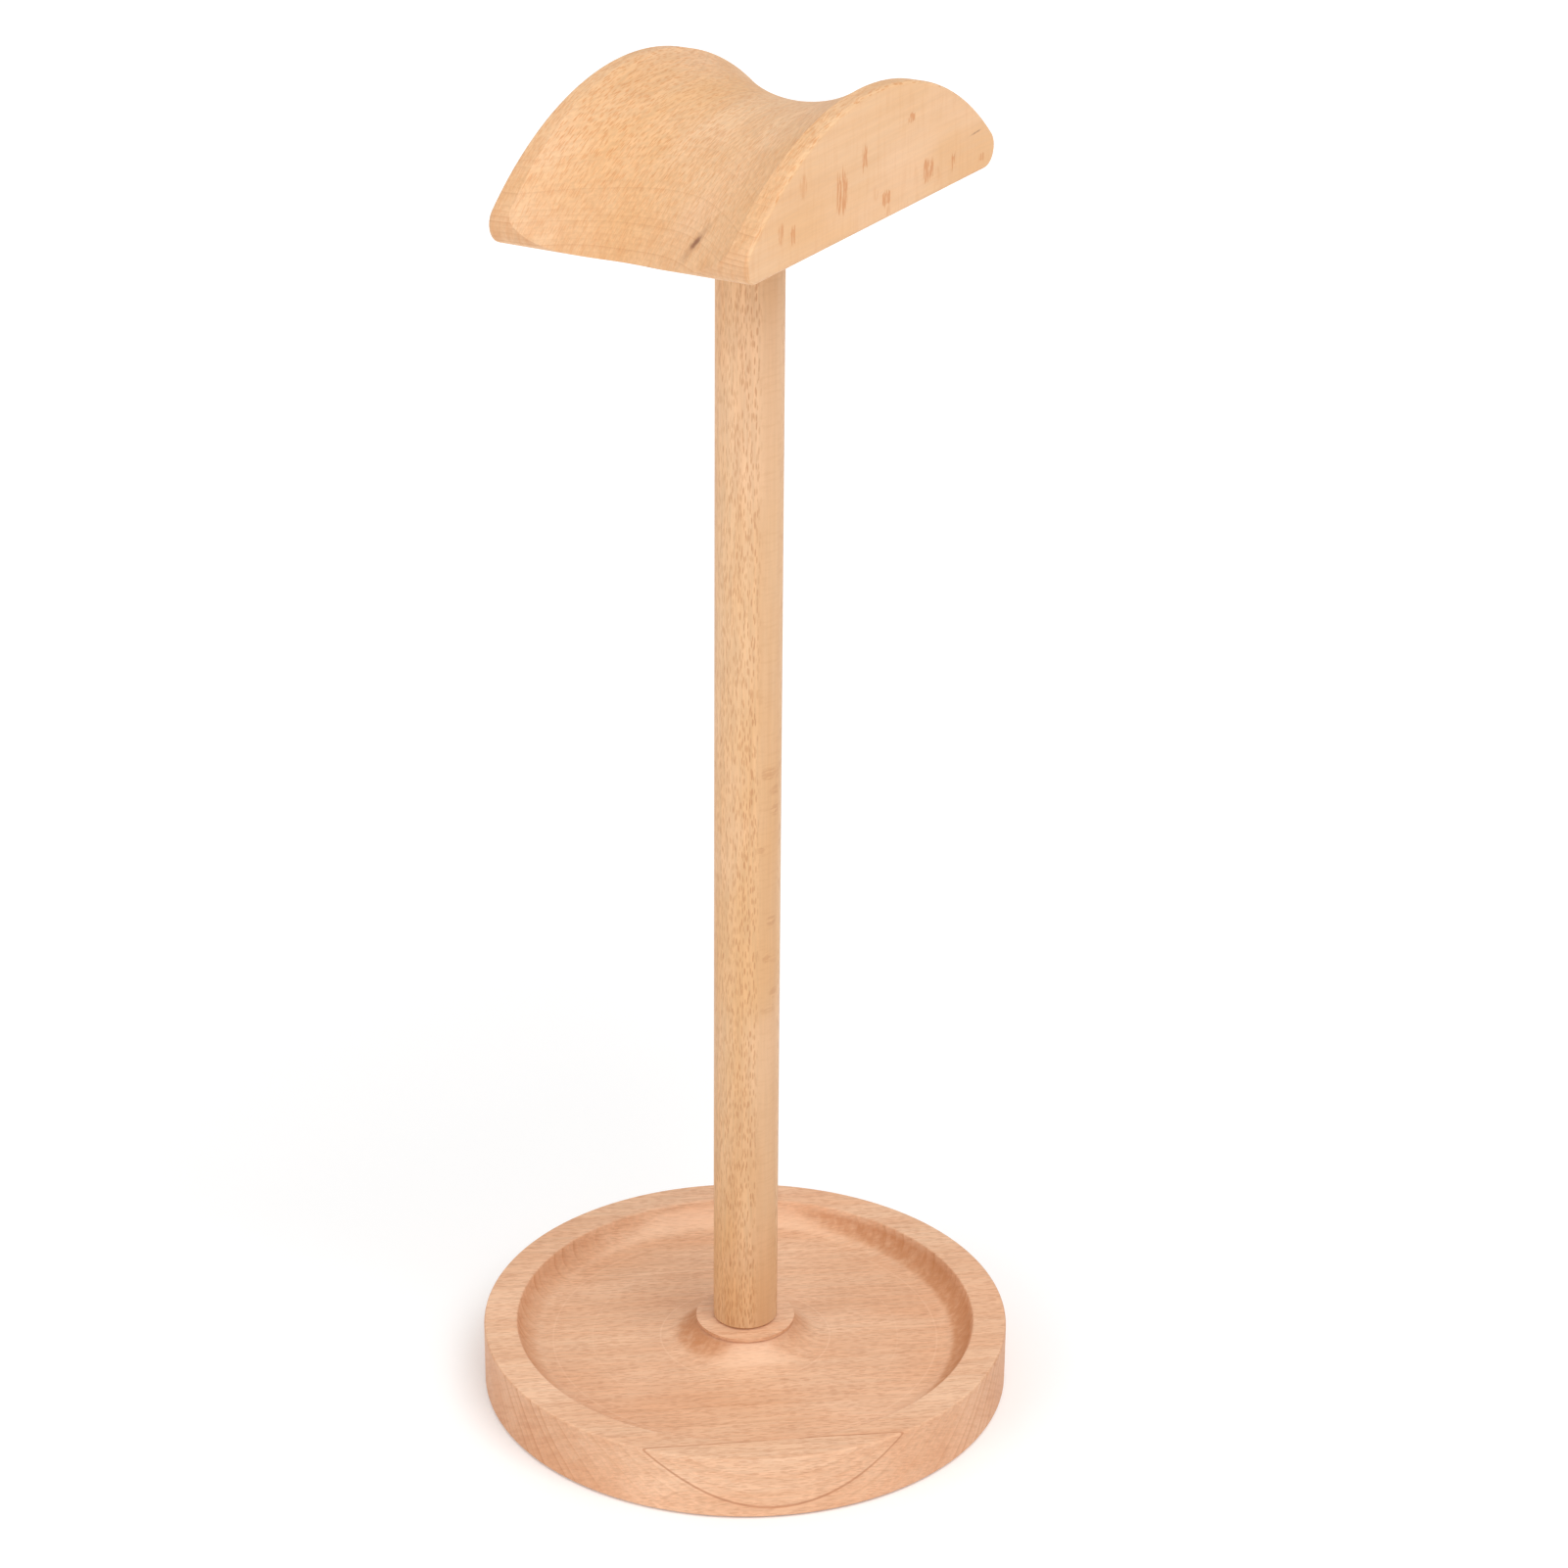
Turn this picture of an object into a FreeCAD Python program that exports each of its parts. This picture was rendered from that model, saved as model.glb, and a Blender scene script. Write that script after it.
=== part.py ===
"""Knock-down beech headphone stand, in millimetres.

A turned base with a shallow tray and a central boss carries a plain dowel post.
A carved saddle on top holds the headband.  A screw from below pulls the post
down onto the boss, and a hanger bolt in the post screws into the saddle.

Frame: +Z up, origin on the table under the middle of the post, +X along the
arch of the saddle (from one ear cup to the other), +Y across the headband.
"""
import FreeCAD
import Part
import Sketcher
import math
import os

Vector = FreeCAD.Vector

# How near two lengths or directions must be to count as the same.
NEAR = 0.01

# Driving dimensions: alias, value in millimetres (or degrees, or a count), meaning.
DIMENSIONS = [
    ("pad_stand_off", 0.5, "how far the foot pads stand out of the base"),
    ("base_radius", 75.0, "outside of the turned base"),
    ("base_thickness", 18.5, "underside to rim"),
    ("base_edge_round", 0.7, "softened rim and foot edges"),
    ("tray_mouth_radius", 65.5, "inner edge of the rim"),
    ("tray_floor_radius", 55.5, "where the wall's cove meets the floor"),
    ("tray_depth", 7.0, "rim to tray floor"),
    ("tray_cove_radius", 9.6, "radius of the wall's cove"),
    ("boss_top_radius", 14.1, "disc that the post stands on"),
    ("boss_lip", 0.9, "thickness of that disc's edge"),
    ("boss_flare_top_radius", 13.3, "where the flare starts under the disc"),
    ("boss_flare_radius", 14.5, "hollow curve of the flare"),
    ("boss_foot_radius", 24.4, "where the flare meets the floor"),
    ("post_radius", 9.1, "beech dowel"),
    ("post_length", 328.2, "boss to saddle"),
    ("post_end_chamfer", 0.7, "both ends of the dowel"),
    ("saddle_length", 73.0, "across the headband"),
    ("saddle_height", 34.3, "flat underside to crest"),
    ("saddle_arch_radius", 95.0, "arch under the headband"),
    ("saddle_corner_radius", 5.2, "lower corners of the end profile"),
    ("saddle_waist_height", 24.8, "crest at the bottom of the hollow"),
    ("saddle_waist_radius", 88.0, "arch at the bottom of the hollow"),
    ("saddle_hollow_radius", 58.5, "hollow across the headband"),
    ("saddle_hollow_margin", 4.0, "the hollow's cutter runs past each end"),
    ("saddle_edge_round", 1.2, "softened edge round both end faces"),
    ("bolt_clearance_radius", 3.3, "hole for an M6 screw"),
    ("counterbore_radius", 9.5, "recess for washer and screw head"),
    ("counterbore_depth", 7.5, "from the underside"),
    ("washer_radius", 9.0, "M6 wide washer"),
    ("washer_bore_radius", 3.2, "M6 wide washer"),
    ("washer_thickness", 1.6, "M6 wide washer"),
    ("thread_radius", 3.0, "M6"),
    ("thread_pitch", 1.0, "M6"),
    ("thread_groove", 0.55, "depth of the M6 thread"),
    ("thread_half_width", 0.4, "half a groove's width, as a share of its thread's pitch"),
    ("cutter_clearance", 0.05, "a thread's cutter runs past the surface"),
    ("screw_length", 25.0, "under the head"),
    ("screw_rows", 22, "thread ridges of the screw"),
    ("screw_head_radius", 5.25, "M6 button head"),
    ("screw_head_height", 3.3, "M6 button head"),
    ("screw_head_flat_radius", 3.1, "flat top of the button head"),
    ("hex_flats", 4.0, "socket across flats"),
    ("hex_depth", 2.1, "socket depth"),
    ("insert_length", 15.0, "threaded insert"),
    ("insert_radius", 5.0, "over its coarse outer thread"),
    ("insert_groove", 0.8, "depth of the coarse thread"),
    ("insert_pitch", 2.5, "pitch of the coarse thread"),
    ("insert_first_row", 1.75, "lowest groove of the coarse thread, above the flange"),
    ("insert_rows", 5, "grooves of the coarse thread"),
    ("insert_bore_radius", 3.05, "threaded bore, at its crests"),
    ("insert_flange_radius", 6.5, "flange that sits flush"),
    ("insert_flange_thickness", 1.5, "flange that sits flush"),
    ("hanger_wood_length", 22.0, "wood-thread half of the hanger bolt"),
    ("hanger_point_length", 3.5, "its point"),
    ("hanger_metal_length", 14.0, "M6 half of the hanger bolt"),
    ("hanger_metal_rows", 12, "grooves of its M6 half"),
    ("hanger_groove", 0.9, "depth of the wood thread"),
    ("hanger_pitch", 2.5, "pitch of the wood thread"),
    ("hanger_wood_rows", 7, "grooves of its wood half"),
    ("hole_bottom_gap", 2.0, "spare depth behind each metal piece"),
    ("pad_radius", 8.0, "foot pad"),
    ("pad_thickness", 2.0, "foot pad"),
    ("pad_edge_round", 0.4, "foot pad"),
    ("pad_circle_radius", 58.0, "centres of the foot pads"),
    ("pad_count", 4, "foot pads"),
    ("pad_first_angle", 45.0, "degrees from +X"),
]

doc = FreeCAD.newDocument("HeadphoneStand")
sizes = doc.addObject("Spreadsheet::Sheet", "Sizes")
for row, (alias, value, meaning) in enumerate(DIMENSIONS, start=1):
    sizes.set(f"A{row}", alias)
    sizes.set(f"B{row}", str(value))
    sizes.set(f"C{row}", meaning)
    sizes.setAlias(f"B{row}", alias)
doc.recompute()

# Heights above the table that several pieces share, as expressions.
BASE_TOP = "(Sizes.pad_stand_off + Sizes.base_thickness)"
POST_TOP = f"({BASE_TOP} + Sizes.post_length)"
COUNTERBORE_TOP = "(Sizes.pad_stand_off + Sizes.counterbore_depth)"
WASHER_BOTTOM = f"({COUNTERBORE_TOP} - Sizes.washer_thickness)"


def measure(expression):
    """The value of an expression in the spreadsheet's aliases, as a plain number."""
    value = sizes.evalExpression(expression)
    return float(getattr(value, "Value", value))


def new_body(label, height="0"):
    """A PartDesign body of that label, whose own origin stands at a height above the table."""
    body = doc.addObject("PartDesign::Body", label)
    body.Label = label
    body.setExpression("Placement.Base.z", f"{height} * 1mm")
    return body


def origin_feature(body, role):
    """One of the body's own origin planes or axes."""
    return next(feature for feature in body.Origin.OriginFeatures if feature.Role == role)


def new_sketch(body, name, plane, offset=None):
    """A sketch on one of the body's origin planes, moved off it along its normal by an expression."""
    sketch = body.newObject("Sketcher::SketchObject", name)
    sketch.AttachmentSupport = [(origin_feature(body, plane), "")]
    sketch.MapMode = "FlatFace"
    if offset is not None:
        sketch.setExpression("AttachmentOffset.Base.z", f"({offset}) * 1mm")
    return sketch


def arc_between(start, end, radius, centre_on_left):
    """A circular arc from start to end, and whether it runs counter-clockwise."""
    chord = end - start
    left = Vector(-chord.y, chord.x, 0).normalize()
    rise = math.sqrt(radius ** 2 - (chord.Length / 2) ** 2)
    centre = (start + end) * 0.5 + left * (rise if centre_on_left else -rise)
    first, last = (start, end) if centre_on_left else (end, start)
    angles = [math.atan2(p.y - centre.y, p.x - centre.x) for p in (first, last)]
    if angles[1] < angles[0]:
        angles[1] += 2 * math.pi
    circle = Part.Circle(centre, Vector(0, 0, 1), radius)
    return Part.ArcOfCircle(circle, *angles)


def draw_outline(sketch, corners):
    """A closed outline whose corners and radii are bound to the spreadsheet.

    Each corner is (x, y) for a straight run to the next corner, or
    (x, y, radius, side) for an arc whose centre is on that side of the run.
    """
    points = [Vector(measure(corner[0]), measure(corner[1]), 0) for corner in corners]
    edges = []
    for index, corner in enumerate(corners):
        start = points[index]
        end = points[(index + 1) % len(points)]
        if len(corner) == 2:
            edge = sketch.addGeometry(Part.LineSegment(start, end), False)
            edges.append((edge, 1, 2))
            continue
        on_left = corner[3] == "left"
        arc = arc_between(start, end, measure(corner[2]), on_left)
        edge = sketch.addGeometry(arc, False)
        edges.append((edge, 1, 2) if on_left else (edge, 2, 1))
    for index, (edge, start_vertex, end_vertex) in enumerate(edges):
        following = edges[(index + 1) % len(edges)]
        sketch.addConstraint(
            Sketcher.Constraint("Coincident", edge, end_vertex, following[0], following[1])
        )
    for index, (edge, start_vertex, end_vertex) in enumerate(edges):
        corner = corners[index]
        for kind, value, expression in (
            ("DistanceX", points[index].x, corner[0]),
            ("DistanceY", points[index].y, corner[1]),
        ):
            name = f"{kind}_{index}"
            constraint = sketch.addConstraint(
                Sketcher.Constraint(kind, -1, 1, edge, start_vertex, value)
            )
            sketch.renameConstraint(constraint, name)
            sketch.setExpression(f"Constraints.{name}", f"({expression}) * 1mm")
        if len(corner) > 2:
            name = f"Radius_{index}"
            constraint = sketch.addConstraint(
                Sketcher.Constraint("Radius", edge, measure(corner[2]))
            )
            sketch.renameConstraint(constraint, name)
            sketch.setExpression(f"Constraints.{name}", f"({corner[2]}) * 1mm")


def draw_circle(sketch, radius):
    """A circle about the sketch's origin."""
    circle = Part.Circle(Vector(0, 0, 0), Vector(0, 0, 1), measure(radius))
    edge = sketch.addGeometry(circle, False)
    sketch.addConstraint(Sketcher.Constraint("Coincident", edge, 3, -1, 1))
    constraint = sketch.addConstraint(Sketcher.Constraint("Radius", edge, measure(radius)))
    sketch.renameConstraint(constraint, "Radius")
    sketch.setExpression("Constraints.Radius", f"({radius}) * 1mm")


def revolve(body, name, corners):
    """Turns an outline in radius and height about the body's Z axis."""
    sketch = new_sketch(body, f"{name}_outline", "XZ_Plane")
    draw_outline(sketch, corners)
    feature = body.newObject("PartDesign::Revolution", name)
    feature.Profile = sketch
    feature.ReferenceAxis = (origin_feature(body, "Z_Axis"), [""])
    feature.Angle = 360
    doc.recompute()
    return feature


def groove(body, name, corners):
    """Cuts a ring of that outline out of the body, about its Z axis."""
    sketch = new_sketch(body, f"{name}_outline", "XZ_Plane")
    draw_outline(sketch, corners)
    feature = body.newObject("PartDesign::Groove", name)
    feature.Profile = sketch
    feature.ReferenceAxis = (origin_feature(body, "Z_Axis"), [""])
    feature.Angle = 360
    doc.recompute()
    return feature


def bore(body, name, radius, depth, height="0", upwards=False):
    """A round blind hole about the body's Z axis, from a height and away from it."""
    sketch = new_sketch(body, f"{name}_circle", "XY_Plane", height)
    draw_circle(sketch, radius)
    before = body.Shape.Volume
    feature = body.newObject("PartDesign::Pocket", name)
    feature.Profile = sketch
    feature.Reversed = upwards
    feature.setExpression("Length", f"({depth}) * 1mm")
    doc.recompute()
    if not body.Shape.Volume < before:
        raise RuntimeError(f"{body.Label}: {name} cuts nothing")
    return feature


def ring_thread(body, name, radius, depth, pitch, first, rows):
    """Thread ridges: one V groove cut at a height, repeated upwards along the Z axis."""
    half_width = f"({pitch}) * Sizes.thread_half_width"
    rim = f"({radius}) + Sizes.cutter_clearance"
    cut = groove(
        body,
        name,
        [
            (f"({radius}) - ({depth})", f"({first})"),
            (rim, f"({first}) - {half_width}"),
            (rim, f"({first}) + {half_width}"),
        ],
    )
    pattern = body.newObject("PartDesign::LinearPattern", f"{name}_rows")
    pattern.Originals = [cut]
    pattern.Direction = (origin_feature(body, "Z_Axis"), [""])
    pattern.setExpression("Occurrences", rows)
    pattern.setExpression("Length", f"({pitch}) * ({rows} - 1) * 1mm")
    body.Tip = pattern
    doc.recompute()
    return pattern


def edges_where(shape, test):
    """The names of the shape's edges whose midpoint and length pass a test."""
    names = []
    for index, edge in enumerate(shape.Edges, start=1):
        middle = edge.valueAt((edge.FirstParameter + edge.LastParameter) / 2)
        if test(edge, middle):
            names.append(f"Edge{index}")
    return names


def is_ring(edge, middle):
    """Whether an edge is a circle round a vertical axis."""
    return isinstance(edge.Curve, Part.Circle) and abs(edge.Curve.Axis.z) > 1 - NEAR


def soften(body, name, kind, size, test):
    """A fillet or chamfer on the edges of the body's tip that pass a test."""
    base = body.Tip
    names = edges_where(base.Shape, test)
    if not names:
        raise RuntimeError(f"{body.Label}: {name} finds no edge")
    feature = body.newObject(f"PartDesign::{kind}", name)
    feature.Base = (base, names)
    feature.setExpression("Radius" if kind == "Fillet" else "Size", f"({size}) * 1mm")
    doc.recompute()
    return feature


def make_base_tray():
    """Turned base: rim, coved tray, flared boss, screw hole, counterbore and pad recesses."""
    body = new_body("base_tray")
    underside = "Sizes.pad_stand_off"
    floor = f"({BASE_TOP} - Sizes.tray_depth)"
    lip_bottom = f"({BASE_TOP} - Sizes.boss_lip)"
    revolve(
        body,
        "turned_base",
        [
            ("Sizes.bolt_clearance_radius", COUNTERBORE_TOP),
            ("Sizes.bolt_clearance_radius", BASE_TOP),
            ("Sizes.boss_top_radius", BASE_TOP),
            ("Sizes.boss_top_radius", lip_bottom),
            ("Sizes.boss_flare_top_radius", lip_bottom, "Sizes.boss_flare_radius", "left"),
            ("Sizes.boss_foot_radius", floor),
            ("Sizes.tray_floor_radius", floor, "Sizes.tray_cove_radius", "left"),
            ("Sizes.tray_mouth_radius", BASE_TOP),
            ("Sizes.base_radius", BASE_TOP),
            ("Sizes.base_radius", underside),
            ("Sizes.counterbore_radius", underside),
            ("Sizes.counterbore_radius", COUNTERBORE_TOP),
        ],
    )
    outer = measure("Sizes.base_radius")
    mouth = measure("Sizes.tray_mouth_radius")

    def is_rim(edge, middle):
        radius = math.hypot(middle.x, middle.y)
        return is_ring(edge, middle) and min(abs(radius - outer), abs(radius - mouth)) < NEAR

    soften(body, "soft_rim", "Fillet", "Sizes.base_edge_round", is_rim)
    recess = new_sketch(body, "pad_recess_circle", "XY_Plane", underside)
    angle = "Sizes.pad_first_angle * 1deg"
    centre = [f"Sizes.pad_circle_radius * {turn}({angle})" for turn in ("cos", "sin")]
    place = Vector(measure(centre[0]), measure(centre[1]), 0)
    radius = measure("Sizes.pad_radius")
    circle = recess.addGeometry(Part.Circle(place, Vector(0, 0, 1), radius), False)
    recess.addConstraint(Sketcher.Constraint("DistanceX", -1, 1, circle, 3, place.x))
    recess.addConstraint(Sketcher.Constraint("DistanceY", -1, 1, circle, 3, place.y))
    recess.addConstraint(Sketcher.Constraint("Radius", circle, radius))
    for index, expression in enumerate(centre + ["Sizes.pad_radius"]):
        recess.setExpression(f"Constraints[{index}]", f"({expression}) * 1mm")
    pocket = body.newObject("PartDesign::Pocket", "pad_recess")
    pocket.Profile = recess
    pocket.Reversed = True
    pocket.setExpression("Length", "(Sizes.pad_thickness - Sizes.pad_stand_off) * 1mm")
    doc.recompute()
    ring = body.newObject("PartDesign::PolarPattern", "pad_recesses")
    ring.Originals = [pocket]
    ring.Axis = (origin_feature(body, "Z_Axis"), [""])
    ring.Angle = 360
    ring.setExpression("Occurrences", "Sizes.pad_count")
    body.Tip = ring
    doc.recompute()


def make_post():
    """Beech dowel with a bore for the threaded insert below and one for the hanger bolt above."""
    body = new_body("post", BASE_TOP)
    sketch = new_sketch(body, "dowel_circle", "XY_Plane")
    draw_circle(sketch, "Sizes.post_radius")
    dowel = body.newObject("PartDesign::Pad", "dowel")
    dowel.Profile = sketch
    dowel.setExpression("Length", "Sizes.post_length * 1mm")
    doc.recompute()
    soften(body, "end_chamfers", "Chamfer", "Sizes.post_end_chamfer", is_ring)
    bore(
        body,
        "insert_flange_seat",
        "Sizes.insert_flange_radius",
        "Sizes.insert_flange_thickness",
        upwards=True,
    )
    bore(
        body,
        "insert_hole",
        "Sizes.insert_radius",
        "Sizes.insert_length + Sizes.hole_bottom_gap",
        upwards=True,
    )
    bore(
        body,
        "hanger_hole",
        "Sizes.thread_radius",
        "Sizes.hanger_wood_length + Sizes.hole_bottom_gap",
        height="Sizes.post_length",
    )


def make_saddle():
    """Headband rest: an arched block with a hollow along the headband and a blind insert hole."""
    body = new_body("saddle", POST_TOP)
    arch = "Sizes.saddle_arch_radius"
    corner = "Sizes.saddle_corner_radius"
    arch_centre = f"(Sizes.saddle_height - {arch})"
    corner_x = f"sqrt(({arch} - {corner})^2 - ({corner} - {arch_centre})^2)"
    ratio = f"({arch} / ({arch} - {corner}))"
    tangent_x = f"{corner_x} * {ratio}"
    tangent_z = f"{arch_centre} + ({corner} - {arch_centre}) * {ratio}"
    sketch = new_sketch(body, "end_profile", "XZ_Plane")
    draw_outline(
        sketch,
        [
            (f"-{corner_x}", "0"),
            (corner_x, "0", corner, "left"),
            (tangent_x, tangent_z, arch, "left"),
            (f"-{tangent_x}", tangent_z, corner, "left"),
        ],
    )
    block = body.newObject("PartDesign::Pad", "arched_block")
    block.Profile = sketch
    block.SideType = "Symmetric"
    block.setExpression("Length", "Sizes.saddle_length * 1mm")
    doc.recompute()

    # The hollow is turned about an axis along Y, below the underside.
    reach = "(Sizes.saddle_length / 2 + Sizes.saddle_hollow_margin)"
    hollow = "Sizes.saddle_hollow_radius"
    waist = "Sizes.saddle_waist_radius"
    end_radius = f"({waist} + {hollow} - sqrt({hollow}^2 - {reach}^2))"
    outside = f"({waist} + Sizes.saddle_height)"
    cutter = body.newObject("Sketcher::SketchObject", "hollow_outline")
    cutter.AttachmentSupport = [(origin_feature(body, "YZ_Plane"), "")]
    cutter.MapMode = "FlatFace"
    cutter.setExpression(
        "AttachmentOffset.Base.y", f"(Sizes.saddle_waist_height - {waist}) * 1mm"
    )
    draw_outline(
        cutter,
        [
            (f"-{reach}", end_radius, hollow, "left"),
            (reach, end_radius),
            (reach, outside),
            (f"-{reach}", outside),
        ],
    )
    before = body.Shape.Volume
    scoop = body.newObject("PartDesign::Groove", "hollow")
    scoop.Profile = cutter
    scoop.ReferenceAxis = (cutter, ["H_Axis"])
    scoop.Angle = 360
    doc.recompute()
    if not body.Shape.Volume < before:
        raise RuntimeError("the saddle's hollow cuts nothing")

    end = measure("Sizes.saddle_length") / 2

    def is_end_edge(edge, middle):
        return abs(abs(middle.y) - end) < NEAR

    soften(body, "end_rounds", "Fillet", "Sizes.saddle_edge_round", is_end_edge)
    bore(
        body,
        "insert_flange_seat",
        "Sizes.insert_flange_radius",
        "Sizes.insert_flange_thickness",
        upwards=True,
    )
    bore(
        body,
        "insert_hole",
        "Sizes.insert_radius",
        "Sizes.insert_length + Sizes.hole_bottom_gap",
        upwards=True,
    )


def make_insert(label, height):
    """Threaded insert with a flush flange below and a coarse outer thread."""
    body = new_body(label, height)
    bore_radius = "Sizes.insert_bore_radius"
    revolve(
        body,
        "sleeve",
        [
            (bore_radius, "0"),
            ("Sizes.insert_flange_radius", "0"),
            ("Sizes.insert_flange_radius", "Sizes.insert_flange_thickness"),
            ("Sizes.insert_radius", "Sizes.insert_flange_thickness"),
            ("Sizes.insert_radius", "Sizes.insert_length"),
            (bore_radius, "Sizes.insert_length"),
        ],
    )
    ring_thread(
        body,
        "coarse_thread",
        "Sizes.insert_radius",
        "Sizes.insert_groove",
        "Sizes.insert_pitch",
        "Sizes.insert_flange_thickness + Sizes.insert_first_row",
        "Sizes.insert_rows",
    )


def make_screw():
    """M6 button-head screw with a hexagon socket, pointing up."""
    body = new_body("base_screw", WASHER_BOTTOM)
    head = "Sizes.screw_head_height"
    revolve(
        body,
        "blank",
        [
            ("0", f"-{head}"),
            ("Sizes.screw_head_flat_radius", f"-{head}", "Sizes.screw_head_radius", "left"),
            ("Sizes.screw_head_radius", "0"),
            ("Sizes.thread_radius", "0"),
            ("Sizes.thread_radius", "Sizes.screw_length - Sizes.thread_groove"),
            ("Sizes.thread_radius - Sizes.thread_groove", "Sizes.screw_length"),
            ("0", "Sizes.screw_length"),
        ],
    )
    ring_thread(
        body,
        "thread",
        "Sizes.thread_radius",
        "Sizes.thread_groove",
        "Sizes.thread_pitch",
        "Sizes.thread_pitch * 2",
        "Sizes.screw_rows",
    )
    sketch = new_sketch(body, "socket_hexagon", "XY_Plane", f"-{head}")
    corner = "Sizes.hex_flats / 2 / cos(30deg)"
    corners = [
        (f"{corner} * cos({turn}deg)", f"{corner} * sin({turn}deg)")
        for turn in range(0, 360, 60)
    ]
    draw_outline(sketch, corners)
    socket = body.newObject("PartDesign::Pocket", "socket")
    socket.Profile = sketch
    socket.Reversed = True
    socket.setExpression("Length", "Sizes.hex_depth * 1mm")
    doc.recompute()


def make_washer():
    """Wide washer between the screw head and the base."""
    body = new_body("base_washer", WASHER_BOTTOM)
    revolve(
        body,
        "ring",
        [
            ("Sizes.washer_bore_radius", "0"),
            ("Sizes.washer_radius", "0"),
            ("Sizes.washer_radius", "Sizes.washer_thickness"),
            ("Sizes.washer_bore_radius", "Sizes.washer_thickness"),
        ],
    )


def make_hanger_bolt():
    """Hanger bolt: a pointed wood thread down into the post, an M6 thread up into the saddle."""
    body = new_body("hanger_bolt", POST_TOP)
    wood = "Sizes.hanger_wood_length"
    metal = "Sizes.hanger_metal_length"
    revolve(
        body,
        "blank",
        [
            ("0", f"-{wood}"),
            ("Sizes.thread_radius", f"-{wood} + Sizes.hanger_point_length"),
            ("Sizes.thread_radius", f"{metal} - Sizes.thread_groove"),
            ("Sizes.thread_radius - Sizes.thread_groove", metal),
            ("0", metal),
        ],
    )
    ring_thread(
        body,
        "wood_thread",
        "Sizes.thread_radius",
        "Sizes.hanger_groove",
        "Sizes.hanger_pitch",
        f"-{wood} + Sizes.hanger_point_length + Sizes.hanger_pitch / 2",
        "Sizes.hanger_wood_rows",
    )
    ring_thread(
        body,
        "metal_thread",
        "Sizes.thread_radius",
        "Sizes.thread_groove",
        "Sizes.thread_pitch",
        "Sizes.thread_pitch",
        "Sizes.hanger_metal_rows",
    )


def make_foot_pad(index):
    """One soft round pad stuck in its recess under the base."""
    body = doc.addObject("PartDesign::Body", f"foot_pad_{index + 1}")
    body.Label = f"foot_pad_{index + 1}"
    angle = f"((Sizes.pad_first_angle + {index} * 360 / Sizes.pad_count) * 1deg)"
    body.setExpression("Placement.Base.x", f"Sizes.pad_circle_radius * cos{angle} * 1mm")
    body.setExpression("Placement.Base.y", f"Sizes.pad_circle_radius * sin{angle} * 1mm")
    sketch = new_sketch(body, "pad_circle", "XY_Plane")
    draw_circle(sketch, "Sizes.pad_radius")
    disc = body.newObject("PartDesign::Pad", "disc")
    disc.Profile = sketch
    disc.setExpression("Length", "Sizes.pad_thickness * 1mm")
    doc.recompute()

    def is_lower_rim(edge, middle):
        return abs(middle.z) < NEAR

    soften(body, "soft_edge", "Fillet", "Sizes.pad_edge_round", is_lower_rim)


def check(label):
    """Stops the build unless the body of that label holds one valid, closed shape."""
    shape = doc.getObject(label).Shape
    if shape.isNull() or not shape.isValid() or shape.Volume <= 0:
        raise RuntimeError(f"{label} has no valid shape")
    if len(shape.Solids) != 1:
        raise RuntimeError(f"{label} is in {len(shape.Solids)} pieces")
    return shape


make_base_tray()
make_post()
make_saddle()
make_insert("post_insert", BASE_TOP)
make_insert("saddle_insert", POST_TOP)
make_screw()
make_washer()
make_hanger_bolt()
for pad in range(int(measure("Sizes.pad_count"))):
    make_foot_pad(pad)

doc.recompute()
failed = [item.Name for item in doc.Objects if {"Invalid", "Error"} & set(item.State)]
if failed:
    raise RuntimeError(f"these objects failed: {failed}")

os.makedirs("parts", exist_ok=True)
bodies = [item for item in doc.Objects if item.TypeId == "PartDesign::Body"]
shapes = {body.Label: check(body.Name) for body in bodies}
for label, shape in shapes.items():
    shape.exportStep(os.path.join("parts", f"{label}.step"))
    print(f"{label}: {shape.Volume:.0f} mm3, {len(shape.Faces)} faces")
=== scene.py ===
"""Looks, light and camera for the beech headphone stand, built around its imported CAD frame."""
import math

import bpy
from mathutils import Matrix, Vector


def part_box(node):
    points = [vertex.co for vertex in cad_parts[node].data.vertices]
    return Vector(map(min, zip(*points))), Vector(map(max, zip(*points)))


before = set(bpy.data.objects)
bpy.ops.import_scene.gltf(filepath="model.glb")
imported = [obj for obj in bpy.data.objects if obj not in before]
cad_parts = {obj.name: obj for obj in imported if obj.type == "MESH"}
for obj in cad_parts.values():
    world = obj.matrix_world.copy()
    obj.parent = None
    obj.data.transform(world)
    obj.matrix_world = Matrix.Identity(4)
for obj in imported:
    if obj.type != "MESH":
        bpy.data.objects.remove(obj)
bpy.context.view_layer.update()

MM = 0.001

# Camera: where it stands (metres), its heading from +Y towards +X, how far it
# looks down, and its small tilt to one side, in degrees.
CAMERA_PLACE = Vector((-0.8475, -0.4773, 0.6188))
CAMERA_HEADING = 61.19
CAMERA_DOWN = 23.99
CAMERA_TILT = 0.51
CAMERA_LENS = 90.3
SENSOR_WIDTH = 36.0
CLIP_START = 0.05
CLIP_END = 100.0

# Soft square lamps: name, place and width in metres, and power in watts.
LAMPS = (
    ("key", (-0.55, -1.2, 2.1), 1.7, 29.0),
    ("fill", (-1.7, 0.7, 1.0), 1.2, 8.0),
)
LAMP_TARGET = (0.0, 0.0, 0.2)
WHITE = (1.0, 1.0, 1.0)
SURROUND_LIGHT = 0.64

# The floor's glow grows from the stand outwards, between two distances in metres.
FLOOR_WIDTH = 30.0
FLOOR_WHITE = (0.92, 0.92, 0.92)
GLOW_START = 0.1
GLOW_END = 1.4
GLOW_NEAR = 0.11
GLOW_FAR = 0.40

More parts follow.
